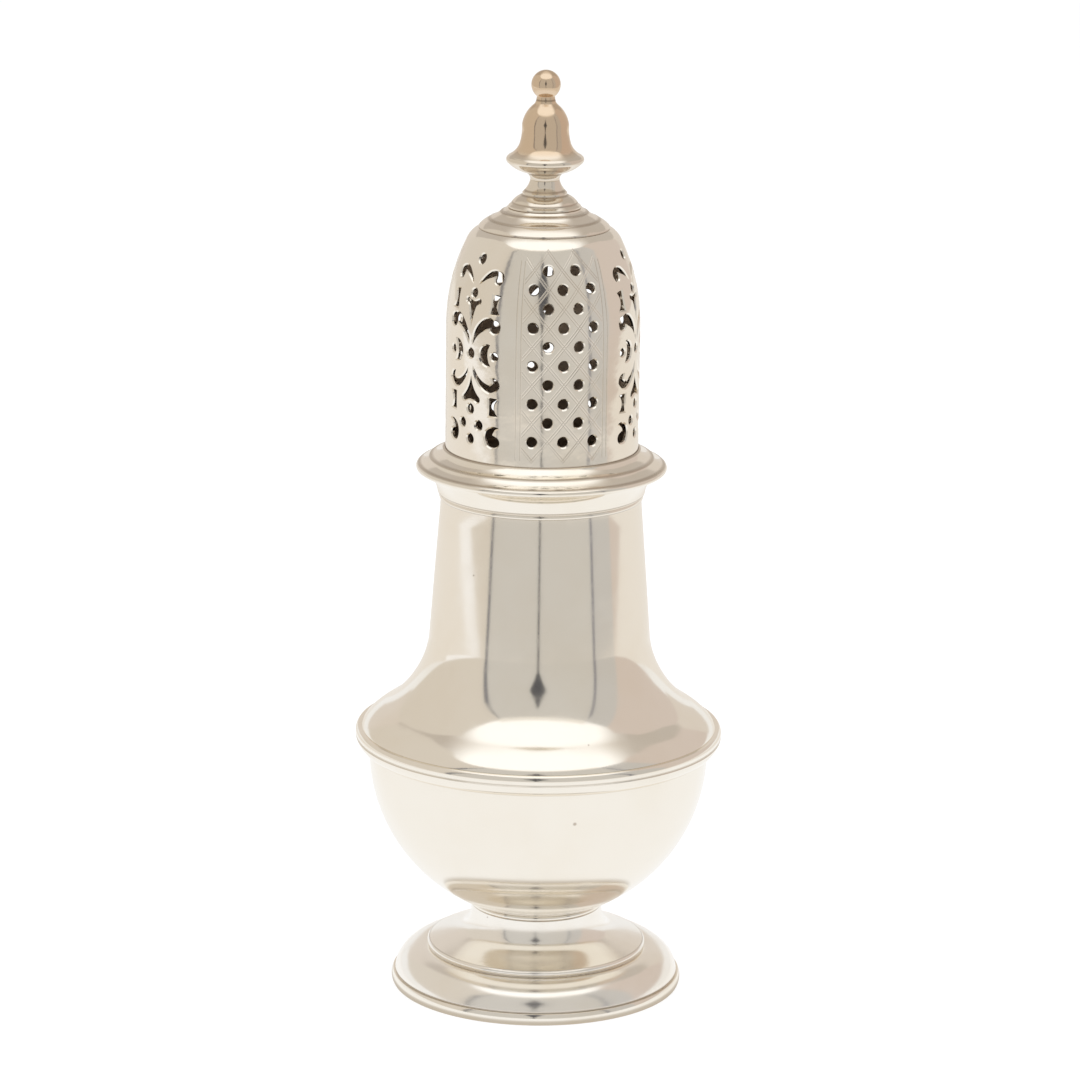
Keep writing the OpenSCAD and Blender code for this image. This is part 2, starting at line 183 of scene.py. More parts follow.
def soften(points, radius, closed=True):
    """Rounds each corner of a path, as far as its neighbours leave room."""
    out = []
    for i, p in enumerate(points):
        if not closed and i in (0, len(points) - 1):
            out.append(p)
            continue
        before, after = points[i - 1], points[(i + 1) % len(points)]
        way_in, way_out = p - before, after - p
        if min(way_in.length, way_out.length) < 1e-6:
            continue
        turn = way_in.angle(way_out)
        if turn < CORNER:
            out.append(p)
            continue
        cut = min(radius * math.tan(turn / 2), CORNER_SHARE * way_in.length, CORNER_SHARE * way_out.length)
        a, b = p - cut * way_in.normalized(), p + cut * way_out.normalized()
        ts = [i / 5 for i in range(6)]
        out += [(1 - t) ** 2 * a + 2 * (1 - t) * t * p + t * t * b for t in ts]
    return out


print("a half round of 1 mm has", len(arc((1, 0), (1, 2), 1)), "points")

# %% [markdown]
# ## A class for node sockets
# Both the lathe and the silver are node trees. Wiring nodes by hand takes many lines, so one class holds a
# socket and turns plain arithmetic into Math nodes: `1 - mask` adds a Subtract node. Every other node comes
# from one method that takes its type, the values or links of its sockets, and its settings.


# %% Sockets with arithmetic
class Wire:
    """An output socket; arithmetic on it adds Math nodes to its tree."""

    def __init__(self, board, socket):
        self.board, self.socket = board, socket

    def math(self, operation, *others):
        return self.board.node("ShaderNodeMath", dict(enumerate((self, *others))), operation=operation)

    def __add__(self, other):
        return self.math("ADD", other)

    def __sub__(self, other):
        return self.math("SUBTRACT", other)

    def __rsub__(self, other):
        return self.board.node("ShaderNodeMath", {0: other, 1: self}, operation="SUBTRACT")

    def __mul__(self, other):
        return self.math("MULTIPLY", other)

    def __truediv__(self, other):
        return self.math("DIVIDE", other)

    __radd__ = __add__
    __rmul__ = __mul__

    def step(self, start, end):
        """0 at start and 1 at end, with a soft slope between them."""
        limits = {"Value": self, "From Min": start, "From Max": end}
        return self.board.node("ShaderNodeMapRange", limits, interpolation_type="SMOOTHSTEP")


class Board:
    """A node tree that nodes are put on."""

    def __init__(self, tree):
        self.tree = tree
        tree.nodes.clear()

    def node(self, kind, inputs=None, output=0, **settings):
        made = self.tree.nodes.new(kind)
        for name, value in settings.items():
            setattr(made, name, value)
        for key, value in (inputs or {}).items():
            for one in value if isinstance(value, list) else [value]:
                if isinstance(one, Wire):
                    self.tree.links.new(one.socket, made.inputs[key])
                else:
                    made.inputs[key].default_value = one
        return Wire(self, made.outputs[output]) if made.outputs else None

    def mix(self, share, first, second):
        return self.node("ShaderNodeMix", {0: share, 6: first, 7: second}, output=2, data_type="RGBA")

    def noise(self, place, scale, detail, **more):
        return self.node("ShaderNodeTexNoise", {"Vector": place, "Scale": scale, "Detail": detail, **more})

    def split(self, vector):
        made = self.node("ShaderNodeSeparateXYZ", {"Vector": vector})
        return [Wire(self, socket) for socket in made.socket.node.outputs]


def new_material(name):
    """A material, and a board to build it on."""
    material = bpy.data.materials.new(name)
    material.use_nodes = True
    return material, Board(material.node_tree)


print("node kit ready")

# %% [markdown]
# ## The lathe
# The turned pieces all follow one rule, so one Geometry Nodes tree makes them. It takes the drawn profile as a
# row of points, lays out a grid with one column for each step round the axis, and moves each grid point to its
# profile point, turned by its column's angle. Merging close points then closes the seam and the poles.


# %% Lathe tree
def new_tree(name, sockets):
    """A geometry tree with named inputs, and a board to build it on."""
    tree = bpy.data.node_groups.new(name, "GeometryNodeTree")
    for title, kind in [("Geometry", "NodeSocketGeometry"), *sockets]:
        tree.interface.new_socket(title, in_out="INPUT", socket_type=kind)
    tree.interface.new_socket("Geometry", in_out="OUTPUT", socket_type="NodeSocketGeometry")
    board = Board(tree)
    given = board.node("NodeGroupInput").socket.node
    return tree, board, {socket.name: Wire(board, socket) for socket in given.outputs if socket.name}


def end_tree(board, given, geometry):
    """Ends a tree with real geometry in its metal."""
    real = board.node("GeometryNodeRealizeInstances", {"Geometry": geometry})
    metal = board.node("GeometryNodeSetMaterial", {"Geometry": real, "Material": given["Metal"]})
    board.node("NodeGroupOutput", {"Geometry": metal})


lathe, board, given = new_tree("lathe", [
    ("Profile Points", "NodeSocketInt"), ("Steps Round", "NodeSocketInt"), ("Metal", "NodeSocketMaterial")])
grid = board.node("GeometryNodeMeshGrid", {
    "Vertices X": given["Steps Round"] + 1, "Vertices Y": given["Profile Points"]})
index = board.node("GeometryNodeInputIndex")
column = (index / given["Profile Points"]).math("FLOOR")
row = index - column * given["Profile Points"]
point = board.node("GeometryNodeSampleIndex", {
    "Geometry": given["Geometry"], "Value": board.node("GeometryNodeInputPosition"), "Index": row},
    data_type="FLOAT_VECTOR")
radius, _, height = board.split(point)
angle = column / given["Steps Round"] * math.tau
turned = board.node("ShaderNodeCombineXYZ", {
    "X": radius * angle.math("SINE"), "Y": radius * angle.math("COSINE") * -1, "Z": height})
moved = board.node("GeometryNodeSetPosition", {"Geometry": grid, "Position": turned})
merged = board.node("GeometryNodeMergeByDistance", {"Geometry": moved, "Distance": 0.001 * MM})
smooth = board.node("GeometryNodeSetShadeSmooth", {"Geometry": merged})
end_tree(board, given, smooth)
print("lathe tree:", len(lathe.nodes), "nodes")

# %% [markdown]
# Helpers run a tree on an object, setting its inputs by identifier, and turn the result into a plain mesh.
# Weighted normals let the long faces decide how light bends at a corner, so a mirror finish stays calm beside a
# moulding.

# %% Run a tree, keep its mesh
STEPS_ROUND = 160
EDGE = 0.12


def run_tree(piece, tree, values):
    modifier = piece.modifiers.new(tree.name, "NODES")
    modifier.node_group = tree
    for item in tree.interface.items_tree:
        if item.in_out == "INPUT" and item.name in values:
            modifier[item.identifier] = values[item.name]


def keep_mesh(piece):
    """Makes what the modifiers show the piece's own mesh."""
    bpy.context.view_layer.update()
    shown = piece.evaluated_get(bpy.context.evaluated_depsgraph_get())
    mesh = bpy.data.meshes.new_from_object(shown)
    piece.modifiers.clear()
    piece.data = mesh
    mesh.name = piece.name


def face_outwards(mesh):
    """Turns all faces round if the mesh encloses a negative volume."""
    mesh.calc_loop_triangles()
    points = np.array([v.co for v in mesh.vertices])
    corners = np.array([t.vertices for t in mesh.loop_triangles])
    a, b, c = points[corners[:, 0]], points[corners[:, 1]], points[corners[:, 2]]
    if np.einsum("ij,ij->i", a, np.cross(b, c)).sum() < 0:
        mesh.flip_normals()


def profile_object(name, points, closed):
    """An object whose points are a profile in metres, standing in the XZ plane."""
    points = points + points[:1] if closed else points
    mesh = bpy.data.meshes.new(name)
    mesh.from_pydata([(max(p.x, 0) * MM, 0, p.y * MM) for p in points], [], [])
    return add_object(name, mesh), len(points)


def turn(name, points, metal, edge=EDGE, closed=True):
    """A turned piece from its profile, with its corners rounded."""
    piece, count = profile_object(name, soften(points, edge, closed), closed)
    run_tree(piece, lathe, {"Profile Points": count, "Steps Round": STEPS_ROUND, "Metal": metal})
    weighted = piece.modifiers.new("weighted normals", "WEIGHTED_NORMAL")
    weighted.mode = "FACE_AREA"
    keep_mesh(piece)
    face_outwards(piece.data)
    print(f"{name}: {len(piece.data.polygons)} faces")
    return piece


def belongs(piece, node, body):
    """Stands the piece for its CAD node, on its body."""
    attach(piece, body)
    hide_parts(node)


print(STEPS_ROUND, "steps round each piece")

# %% [markdown]
# ## Polished silver
# Silver is a mirror with a warm tint, so its colour comes mostly from what it reflects. What makes it look used
# is subtle: a thin yellow film in soft clouds, dirt in the grooves, smears and hairlines that blur the
# reflection, a few pits, and a surface that was hammered by hand and so isn't quite true.

# %% Silver from nodes
SILVER = (0.915, 0.868, 0.785, 1)
BRIGHT = (0.935, 0.90, 0.84, 1)
FILM = (0.84, 0.755, 0.62, 1)
# Dark colour for dirt in grooves and pits, also used for painted shade in the foot's crease.
DIRT_AND_SHADE = (0.30, 0.225, 0.15, 1)


def silver(name, film=0.35, wave=0.02, grooves=(), dirt=0.55, blur=0.10, colour=SILVER, marks=None,
           tint=None):
    """A polished silver; wave is the depth of its unevenness and grooves are heights where dirt stays, in mm."""
    material, board = new_material(name)
    place = board.node("ShaderNodeTexCoord", output="Object")
    height = board.split(place)[2] / MM
    cloud = board.noise(place, 48, 4, Roughness=0.6)
    shade = board.mix(cloud.step(0.4, 0.72) * film, colour, FILM)
    if tint:
        shade = board.mix(tint["share"](height), shade, tint["colour"])
    smear = board.noise(place, 210, 3, Distortion=0.6)
    around = board.node("ShaderNodeMapping", {"Vector": place, "Scale": (60, 60, 5200)})
    hairlines = board.noise(around, 1, 2)
    spots = board.node("ShaderNodeTexVoronoi", {"Vector": place, "Scale": 320})
    chance = board.split(Wire(board, spots.socket.node.outputs["Color"]))[0]
    pits = (1 - spots.step(0.035, 0.06)) * chance.math("LESS_THAN", 0.03)
    dark = pits * 0.6
    for groove in grooves:
        dark = dark + (1 - (height - groove).math("ABSOLUTE").step(0.05, 0.28)) * dirt
    relief = board.noise(place, 75, 1.5) * wave
    ripple = board.noise(place, 330, 2)
    relief = relief + ripple * wave * 0.12 + hairlines * 0.0004 - pits * 0.02
    # Marks add real stains, or painted shade as in the foot's crease, to the dark share.
    if marks:
        cut, stain_and_shade = marks(board, place)
        relief = relief - cut * 0.03
        dark = dark + stain_and_shade
    bump = board.node("ShaderNodeBump", {"Strength": 1, "Distance": MM, "Height": relief})
    surface = board.node("ShaderNodeBsdfPrincipled", {
        "Base Color": board.mix(dark.math("MINIMUM", 0.9), shade, DIRT_AND_SHADE),
        "Metallic": 1,
        "Roughness": blur + smear.step(0.45, 0.8) * 0.06 + hairlines.step(0.5, 0.8) * 0.03 + dark * 0.25,
        "Normal": bump,
    })
    board.node("ShaderNodeOutputMaterial", {"Surface": surface})
    return material


foot_silver = silver("foot_silver", film=0.6, wave=0.012)
print("first silver:", len(foot_silver.node_tree.nodes), "nodes")

# %% [markdown]
# ## Inside
# Nobody polishes the inside of a caster. Sugar, damp air and time leave it brown and dull; its brown is also
# painted shade, so the holes of the cover look dark. Faces that look towards the axis get a second material.

# %% Dull inside and where it goes
INWARD = 0.3


def dull_inside():
    material, board = new_material("inside_tarnish")
    place = board.node("ShaderNodeTexCoord", output="Object")
    cloud = board.noise(place, 120, 5)
    grain = board.noise(place, 900, 2)
    # Brown tarnish that is also painted shade for the inside of the caster.
    shade = board.mix(cloud.step(0.3, 0.7), (0.42, 0.33, 0.25, 1), (0.62, 0.52, 0.42, 1))
    bump = board.node("ShaderNodeBump", {"Strength": 0.5, "Distance": 0.05 * MM, "Height": grain})
    surface = board.node("ShaderNodeBsdfPrincipled", {
        "Base Color": shade, "Metallic": 0.85, "Roughness": 0.38 + grain.step(0.3, 0.7) * 0.2, "Normal": bump})
    board.node("ShaderNodeOutputMaterial", {"Surface": surface})
    return material


inside = dull_inside()


def line_inside(piece):
    """Gives the inside material to faces that look towards the axis."""
    mesh = piece.data
    mesh.materials.append(inside)
    for face in mesh.polygons:
        out = Vector((face.center.x, face.center.y, 0))
        if face.normal.dot(out) < -INWARD * out.length:
            face.material_index = len(mesh.materials) - 1


print("inside material:", inside.name)

# %% [markdown]
# ## The foot
# The foot is a sheet raised over a stake: a full round slope, a rounded step, and a hollow rise to a collar
# under the bowl. A heavier ring is soldered below, because a thin edge would bend on the table.

# %% Foot rim, foot and collar
STEP_EDGE = Vector((20.9, 8.4))
CREASE = STEP_EDGE - Vector((0.2, 1.3))
SLOPE_RISE = 1.55
RIM_WIDE, COLLAR_WIDE, SEAT_STEPS = 2.3, 1.2, 6
HOLLOW_LEAN, HOLLOW_REACH = 16, (6.5, 5.6)


def painted_crease_shade(board, place):
    """Nothing is cut, but a line of painted shade lies where the slope meets the step."""
    x, y, z = board.split(place)
    away = ((x * x + y * y).math("SQRT") / MM - CREASE.x).math("ABSOLUTE")
    return away * 0, (1 - away.step(0.03, 0.16)) * (z / MM).step(CREASE.y - 0.3, CREASE.y) * 0.35


edge_r = foot_r - BEAD
rim = turn("foot_rim_ring", trace(
    (edge_r - RIM_WIDE, 0), (edge_r, 0, BEAD), (edge_r, foot_rim_h), (edge_r - RIM_WIDE, foot_rim_h)), foot_silver)

slope_r = edge_r - FILLET
slope_low = foot_rim_h + FILLET
slope = trace(
    (slope_r, foot_rim_h), (slope_r, slope_low, SLOPE_RISE), (CREASE.x + GROOVE, CREASE.y),
    (CREASE.x, CREASE.y + GROOVE, BEAD), (STEP_EDGE.x, STEP_EDGE.y - GROOVE))
hollow_low, crown = STEP_EDGE - Vector((GROOVE, 0)), Vector((collar_r, foot_h))
hollow = curve(hollow_low, hollow_low + heading(180 - HOLLOW_LEAN, HOLLOW_REACH[0]),
               crown + Vector((GROOVE, -HOLLOW_REACH[1])), crown, 40)
behind_r = CREASE.x - FOOT_SHEET
lining = [p for p in inset(hollow, FOOT_SHEET) if p.x < behind_r]
under = trace(
    (slope_r - FOOT_SHEET, foot_rim_h), (slope_r - FOOT_SHEET, slope_low - GROOVE, SLOPE_RISE),
    (CREASE.x - FOOT_SHEET / 2, CREASE.y - FOOT_SHEET), (behind_r, CREASE.y))
# The foot's silver gets a dark line of painted shade in its crease.
foot_metal = silver("foot_sheet_silver", film=0.35, wave=0.03, blur=0.17, colour=BRIGHT,
                    grooves=(slope_low - 0.2,), marks=painted_crease_shade)
foot = turn("foot_sheet", slope + hollow + lining[::-1] + under[::-1], foot_metal)
line_inside(foot)

seat_radii = [collar_r - COLLAR_WIDE * i / SEAT_STEPS for i in range(SEAT_STEPS + 1)]
seat = [Vector((r, bowl_z - math.sqrt((bowl_r + SOLDER_GAP) ** 2 - r * r))) for r in seat_radii]
collar = turn("collar_ring", [Vector((seat_radii[-1], foot_h))] + arc((collar_r, foot_h), seat[0], GROOVE) + seat,
              silver("collar_silver", film=0.8, grooves=(foot_h,)), edge=0.05)
for piece, node in ((rim, "foot_rim"), (foot, "foot"), (collar, "foot_collar")):
    belongs(piece, node, "body")

# %% [markdown]
# ## The bowl and the girdle
# The bowl is close to a half sphere. Its seam with the upper body is hidden by a girdle of two reeds, which
# also stiffens the widest part. The bowl reflects little but the white table, so it looks almost plain; one pit
# breaks it.

# %% Bowl and girdle
GIRDLE_SPLIT, GIRDLE_OUT = 2.4, 2.6


def quarter(r, steps=48):
    """From the lowest point of a round bowl to its side."""
    angles = [math.pi / 2 * i / steps for i in range(steps + 1)]
    return [Vector((r * math.sin(a), bowl_z - r * math.cos(a))) for a in angles]


PIT = Vector((7.0, -31.3, 41.2))


def one_pit(board, place):
    """A small corroded pit at the front of the bowl."""
    away = board.node("ShaderNodeVectorMath", {0: place, 1: PIT * MM}, output="Value", operation="DISTANCE") / MM
    pit = 1 - away.step(0.15, 0.5)
    return pit, pit * 0.55


inner_r = bowl_r - BODY_SHEET
bowl_metal = silver("bowl_silver", film=0.2, wave=0.012, marks=one_pit)
bowl = turn("round_bowl", quarter(bowl_r) + [Vector((bowl_r, girdle_top)), Vector((inner_r, girdle_top))]
            + quarter(inner_r)[::-1], bowl_metal, closed=False)
line_inside(bowl)

bore = bowl_r + SOLDER_GAP
girdle_r = bowl_r + GIRDLE_OUT
split = girdle_low + GIRDLE_SPLIT
girdle_metal = silver("girdle_silver", film=0.35, wave=0.006, grooves=(split + 0.05, girdle_low), dirt=0.25)
girdle = turn("girdle_reeds", trace(
    (bore, girdle_low), (bore + 2 * FILLET, girdle_low, BEAD), (girdle_r, split - GROOVE),
    (girdle_r - GROOVE, split), (girdle_r - GROOVE, split + GROOVE, BEAD), (girdle_r - FILLET, girdle_top),
    (bore, girdle_top)), girdle_metal)
belongs(bowl, "bowl", "body")
belongs(girdle, "girdle", "body")

# %% [markdown]
# ## The shoulder, the neck and its rim
# One sheet rolls over at the girdle, sweeps up in a hollow curve and tapers to the mouth. This hollow shoulder
# is where the studio shows best, so its curve is drawn with two smooth handles and many points. A reeded,
# flaring rim is soldered round the mouth to carry the cover.

# %% Upper body and neck rim
SHOULDER_TURN = Vector((-4.5, 4))
ROLL_LEAN, SWEEP_LEAN, NECK_LEAN = 115, 148, 94
ROLL_REACH, SWEEP_REACH = (1.6, 2), (4.5, 6)
NECK_LOW_R, NECK_LOW_H, NECK_STRAIGHT = 21.1, 18.2, 5.6

edge = Vector((shoulder_r, girdle_top))
bend = edge + SHOULDER_TURN
neck_low = Vector((NECK_LOW_R, girdle_top + NECK_LOW_H))
roll = curve(edge, edge + heading(ROLL_LEAN, ROLL_REACH[0]), bend - heading(SWEEP_LEAN, ROLL_REACH[1]), bend, 20)
sweep = curve(bend, bend + heading(SWEEP_LEAN, SWEEP_REACH[0]), neck_low - heading(NECK_LEAN, SWEEP_REACH[1]),
              neck_low, 40)
taper_end = Vector((neck_r, mouth_z - NECK_STRAIGHT))
taper = [neck_low.lerp(taper_end, i / 10) for i in range(1, 11)]
outside = roll + sweep[1:] + taper
lining = inset(outside, BODY_SHEET)[:-1] + [Vector((neck_r - BODY_SHEET, taper_end.y))]
mouth = [Vector((neck_r, mouth_z)), Vector((neck_r - BODY_SHEET, mouth_z))]
neck_metal = silver("neck_silver", film=0.3, wave=0.02)
upper_body = turn("shoulder_and_neck", outside + mouth + lining[::-1], neck_metal)
line_inside(upper_body)

bore = neck_r + SOLDER_GAP
rim_low, rim_r = low("neck_rim"), wide("neck_rim")
reed = rim_low + 2 * FILLET
rim_metal = silver("neck_rim_silver", film=0.3, wave=0.006, grooves=(reed + FILLET, rim_low))
neck_rim = turn("mouth_rim", trace(
    (bore, rim_low), (bore + GROOVE, rim_low, GROOVE), (bore + GROOVE, reed), (bore + GROOVE, reed + FILLET),
    (bore + 2 * BEAD, reed + FILLET, -FILLET), (rim_r, mouth_z - GROOVE), (rim_r, mouth_z), (bore, mouth_z)),
    rim_metal)
belongs(upper_body, "upper_body", "body")
belongs(neck_rim, "neck_rim", "body")

# %% [markdown]
# ## The cover's sleeve and flange
# The cover is held by a plain tube that drops into the neck. A moulded flange rests on the mouth, and the dome
# stands inside the flange. The sleeve shows only when the cover is lifted.

# %% Sleeve and flange
sleeve_in = sleeve_r - COVER_SHEET
sleeve_metal = silver("sleeve_silver", film=0.8, wave=0.006)
sleeve = turn("cover_tube", trace(
    (sleeve_in, sleeve_low), (sleeve_r, sleeve_low), (sleeve_r, ledge_z), (sleeve_in, ledge_z)), sleeve_metal)
line_inside(sleeve)

FLANGE_RIM = 1.35
flange_r, flange_top = wide("cover_flange") - BEAD, top("cover_flange")
tube_bore, dome_bore = sleeve_r + SOLDER_GAP, dome_r + SOLDER_GAP
rim_top = mouth_z + FLANGE_RIM
mid_r, mid_z = (flange_r + dome_bore + FILLET) / 2, (rim_top + flange_top) / 2 - BEAD
flange_metal = silver("flange_silver", film=0.45, wave=0.006, grooves=(rim_top, mid_z + 0.1, flange_top - 0.05))
flange = turn("cover_moulding", trace(
    (tube_bore, mouth_z), (flange_r - FILLET, mouth_z), (flange_r, mouth_z + GROOVE, BEAD),
    (flange_r, rim_top - GROOVE), (flange_r - GROOVE, rim_top, -GROOVE),
    (mid_r + GROOVE, mid_z), (mid_r, mid_z + GROOVE, -BEAD),
    (dome_bore + FILLET, flange_top - GROOVE), (dome_bore + GROOVE, flange_top), (dome_bore, flange_top),
    (dome_bore, ledge_z), (tube_bore, ledge_z)), flange_metal)
belongs(sleeve, "cover_sleeve", "cover")
belongs(flange, "cover_flange", "cover")

# %% [markdown]
# ## The dome before piercing
# The dome's wall is straight at first and then arches in to a flat top. A place on it is given by the angle
# round the axis and by the distance along the wall from the spring of the arch, because that is how a piercer's
# paper pattern lies on the metal. The wall is drawn with close points, so that the cuts that follow meet small
# faces.

# %% Dome's section
ARCH_R, ARCH_H, TURN_H = 37, 16, 2.4
spring_z = dome_top - TURN_H - ARCH_H
WALL_STEP = 1.2


def wall_place(x, s, out=0.0):
    """A point in mm on the dome at x round the wall and s along it, moved outwards."""
    lean = max(s, 0) / ARCH_R
    r = dome_r - ARCH_R * (1 - math.cos(lean)) + out * math.cos(lean)
    z = spring_z + min(s, 0) + (ARCH_R + out) * math.sin(lean)
    angle = x / dome_r
    return Vector((r * math.sin(angle), -r * math.cos(angle), z))


def dome_side(depth):
    """The dome's section at a depth below its outside, from its foot to the hole for the peg."""
    end = math.asin(ARCH_H / ARCH_R)
    rows = math.ceil((spring_z - ledge_z) / WALL_STEP)
    straight = [Vector((dome_r - depth, ledge_z + (spring_z - ledge_z) * i / rows)) for i in range(rows)]
    arch_r, centre_r = ARCH_R - depth, dome_r - ARCH_R
    angles = [end * i / 16 for i in range(17)]
    arch = [Vector((centre_r + arch_r * math.cos(a), spring_z + arch_r * math.sin(a))) for a in angles]
    flat_r, flat_z = cap_r - depth / 2, dome_top - depth
    return straight + arch[:-1] + arc(arch[-1], (flat_r, flat_z), 2 * GROOVE) + [
        Vector((flat_r, flat_z)), Vector((PEG_HOLE_R, flat_z))]


PEG_HOLE_R = 1.25
dome_profile = soften(dome_side(0) + dome_side(COVER_SHEET)[::-1], EDGE)
print("dome section:", len(dome_profile), "points, spring at", round(spring_z, 2))

# %% [markdown]
# ## Openings of a scroll panel
# Between the panels of round holes are panels of scrolls: a vase of two trumpets with leaves, brackets and
# scrolls on both sides. Each opening is drawn as corners and arcs on the paper pattern and wrapped on the wall
# as a cutter square to it. The cutter widens near the surface, because a file takes off the sharp edge and
# leaves a bright lip. One panel is drawn; the node tree repeats it.

# %% Scroll cutters
SCROLL_MID = 22.6 - (spring_z - ledge_z)
TRUMPETS = [
    [(0, 5.2, -0.15), (0.75, 8.8, -0.2), (1.85, 9.6, 0.35), (1.5, 10.3, -0.12), (0, 9.8, 0)],
    [(0, -8.75, -0.1), (1.6, -9.2, 0.45), (2.1, -8.25, -0.5), (0, -3.9, 0)]]
SIDE_OPENINGS = {
    "v arm": [(0.9, 13.2, -0.35), (4.9, 15.2, 0.15), (4.8, 14.1, 0.5), (6.3, 14, 0.35), (6.2, 15.6, 0.35),
              (3.4, 15.85, 0.25)],
    "upper bracket": [(4.5, 7.9, 0), (6.4, 7.9, -0.7), (6.4, 11.3, 0), (4.8, 11.6, -0.15)],
    "upper leaf": [(0.5, 1.9, -0.65), (4.6, 5.3, 0.15), (5, 4.6, 0.6), (6.7, 5.3, 0.6), (5.3, 6.8, 0.25),
                   (3.2, 6.8, 0.75)],
    "crescent": [(4.5, 2, 0.7), (2.4, 0, 0.7), (4.7, -1.95, -0.6)],
    "lower leaf": [(0.8, -2.6, 0.9), (4.6, -7, 0.3), (6.7, -5.6, 0.5), (5.1, -4.2, -0.1), (5.4, -5.2, 0),
                   (4.7, -5.75, -0.65)],
    "lower bracket": [(4.5, -11.4, 0), (6.4, -11.4, -0.8), (6.4, -8.1, 0), (4.5, -8.1, -0.1)],
    "bottom scroll": [(6.7, -13.6, 0.35), (4.1, -14.2, 0.45), (4.2, -16.9, 0.4), (6.4, -17, 0.55), (6, -15.4, 0.1),
                      (5.2, -15.2, -0.45)]}
ROUND_HOLES = [
    (0, 17.9, 1.9), (0, 11.4, 1.6), (0, 0, 1.75), (0, -10.6, 1.75), (0, -16.35, 1.75), (2.2, -13.5, 1.7),
    (-2.2, -13.5, 1.7), (5.65, 0, 1.5), (-5.65, 0, 1.5)]
# Cutters start inside the wall, widen over the lip, and end clear above the surface.
CUT_OUT, CUT_IN, CLEAR, LIP = 0.1, -1.8, 1.0, 0.25
MITRE = 1.5


def ring_of(corners):
    return trace(*corners, corners[0])[:-1]


def both_sides(half):
    """Adds the mirror image to the right half of an opening on the axis."""
    right = trace(*half)
    return right + [Vector((-p.x, p.y)) for p in right[-2:0:-1]]


def circle(x, y, across, steps=24):
    angles = [math.tau * i / steps for i in range(steps)]
    return [Vector((x + across / 2 * math.cos(a), y + across / 2 * math.sin(a))) for a in angles]


def gap(point, a, b):
    """Distance from a point to the edge from a to b."""
    t = (point - a).dot(b - a) / max((b - a).length_squared, 1e-9)
    return (a.lerp(b, min(max(t, 0), 1)) - point).length


def widen(outline, by):
    """A closed outline moved outwards all round; points that would cross at an inner corner share its place."""
    count = len(outline)
    area = sum(outline[i - 1].cross(outline[i]) for i in range(count))
    moved = []
    for i, p in enumerate(outline):
        way_in, way_out = (p - outline[i - 1]).normalized(), (outline[(i + 1) % count] - p).normalized()
        way = (way_in + way_out).normalized()
        stretch = min(1 / max(way.dot(way_out), 0.1), MITRE)
        moved.append(p + Vector((way.y, -way.x)) * math.copysign(by * stretch, area))
    clear = [i for i, q in enumerate(moved)
             if min(gap(q, outline[k - 1], outline[k]) for k in range(count)) > 0.97 * by]
    for here, after in zip(clear, clear[1:] + [clear[0] + count]):
        for i in range(here + 1, after):
            moved[i % count] = moved[here].lerp(moved[after % count], (i - here) / (after - here))
    return moved


outlines = [both_sides(half) for half in TRUMPETS] + [circle(*hole) for hole in ROUND_HOLES]
for corners in SIDE_OPENINGS.values():
    right = ring_of(corners)
    outlines += [right, [Vector((-p.x, p.y)) for p in right[::-1]]]

points, faces = [], []
for outline in outlines:
    count, first = len(outline), len(points)
    lip = widen(outline, LIP + CUT_OUT)
    for out, ring in ((CUT_IN, outline), (-LIP, outline), (CUT_OUT, lip), (CLEAR, lip)):
        points += [wall_place(p.x, SCROLL_MID + p.y, out) * MM for p in ring]
    rings = [list(range(first + count * i, first + count * (i + 1))) for i in range(4)]
    faces += [rings[0][::-1], rings[-1]]
    for inner, outer in zip(rings, rings[1:]):
        faces += [(inner[i], inner[(i + 1) % count], outer[(i + 1) % count], outer[i]) for i in range(count)]
scroll_mesh = bpy.data.meshes.new("scroll_cutters")
scroll_mesh.from_pydata(points, [], faces)
scroll_cutters = bpy.data.objects.new("scroll_cutters", scroll_mesh)
print("openings in a scroll panel:", len(outlines))

# %% [markdown]
# ## Piercing with nodes
# The other panels are a lattice of round holes in staggered rows. A grid with five columns gives their places:
# every second point is deleted, the rest are wrapped on the wall, and a drill with a wider cone for the lip is
# set on each. The tree then repeats both kinds of panel round the axis and cuts them all out of the dome in one
# Boolean.

# %% Piercing tree
pierce, board, given = new_tree("pierce", [
    ("Scroll Cutters", "NodeSocketObject"), ("Rows", "NodeSocketInt"), ("Row Pitch", "NodeSocketFloat"),
    ("Hole Step", "NodeSocketFloat"), ("Hole Diameter", "NodeSocketFloat"), ("First Row", "NodeSocketFloat"),
    ("Wall Radius", "NodeSocketFloat"), ("Arch Radius", "NodeSocketFloat"), ("Spring Height", "NodeSocketFloat"),
    ("Lattice Turn", "NodeSocketFloat"), ("Panels", "NodeSocketInt"), ("Metal", "NodeSocketMaterial")])
COLUMNS, PANELS, DRILL_SIDES = 5, 3, 24
spread = (given["Rows"] - 1) * given["Row Pitch"]
lattice = board.node("GeometryNodeMeshGrid", {
    "Size X": given["Hole Step"] * 2, "Size Y": spread, "Vertices X": COLUMNS, "Vertices Y": given["Rows"]})
index = board.node("GeometryNodeInputIndex")
column = (index / given["Rows"]).math("FLOOR")
odd = (column + (index - column * given["Rows"])).math("MODULO", 2).math("GREATER_THAN", 0.5)
lattice = board.node("GeometryNodeDeleteGeometry", {"Geometry": lattice, "Selection": odd}, domain="POINT")
across, along, _ = board.split(board.node("GeometryNodeInputPosition"))
s = along + spread / 2 + given["First Row"]
angle = across / given["Wall Radius"]
lean = s.math("MAXIMUM", 0) / given["Arch Radius"]
r = given["Wall Radius"] - given["Arch Radius"] * (1 - lean.math("COSINE"))
z = given["Spring Height"] + s.math("MINIMUM", 0) + given["Arch Radius"] * lean.math("SINE")
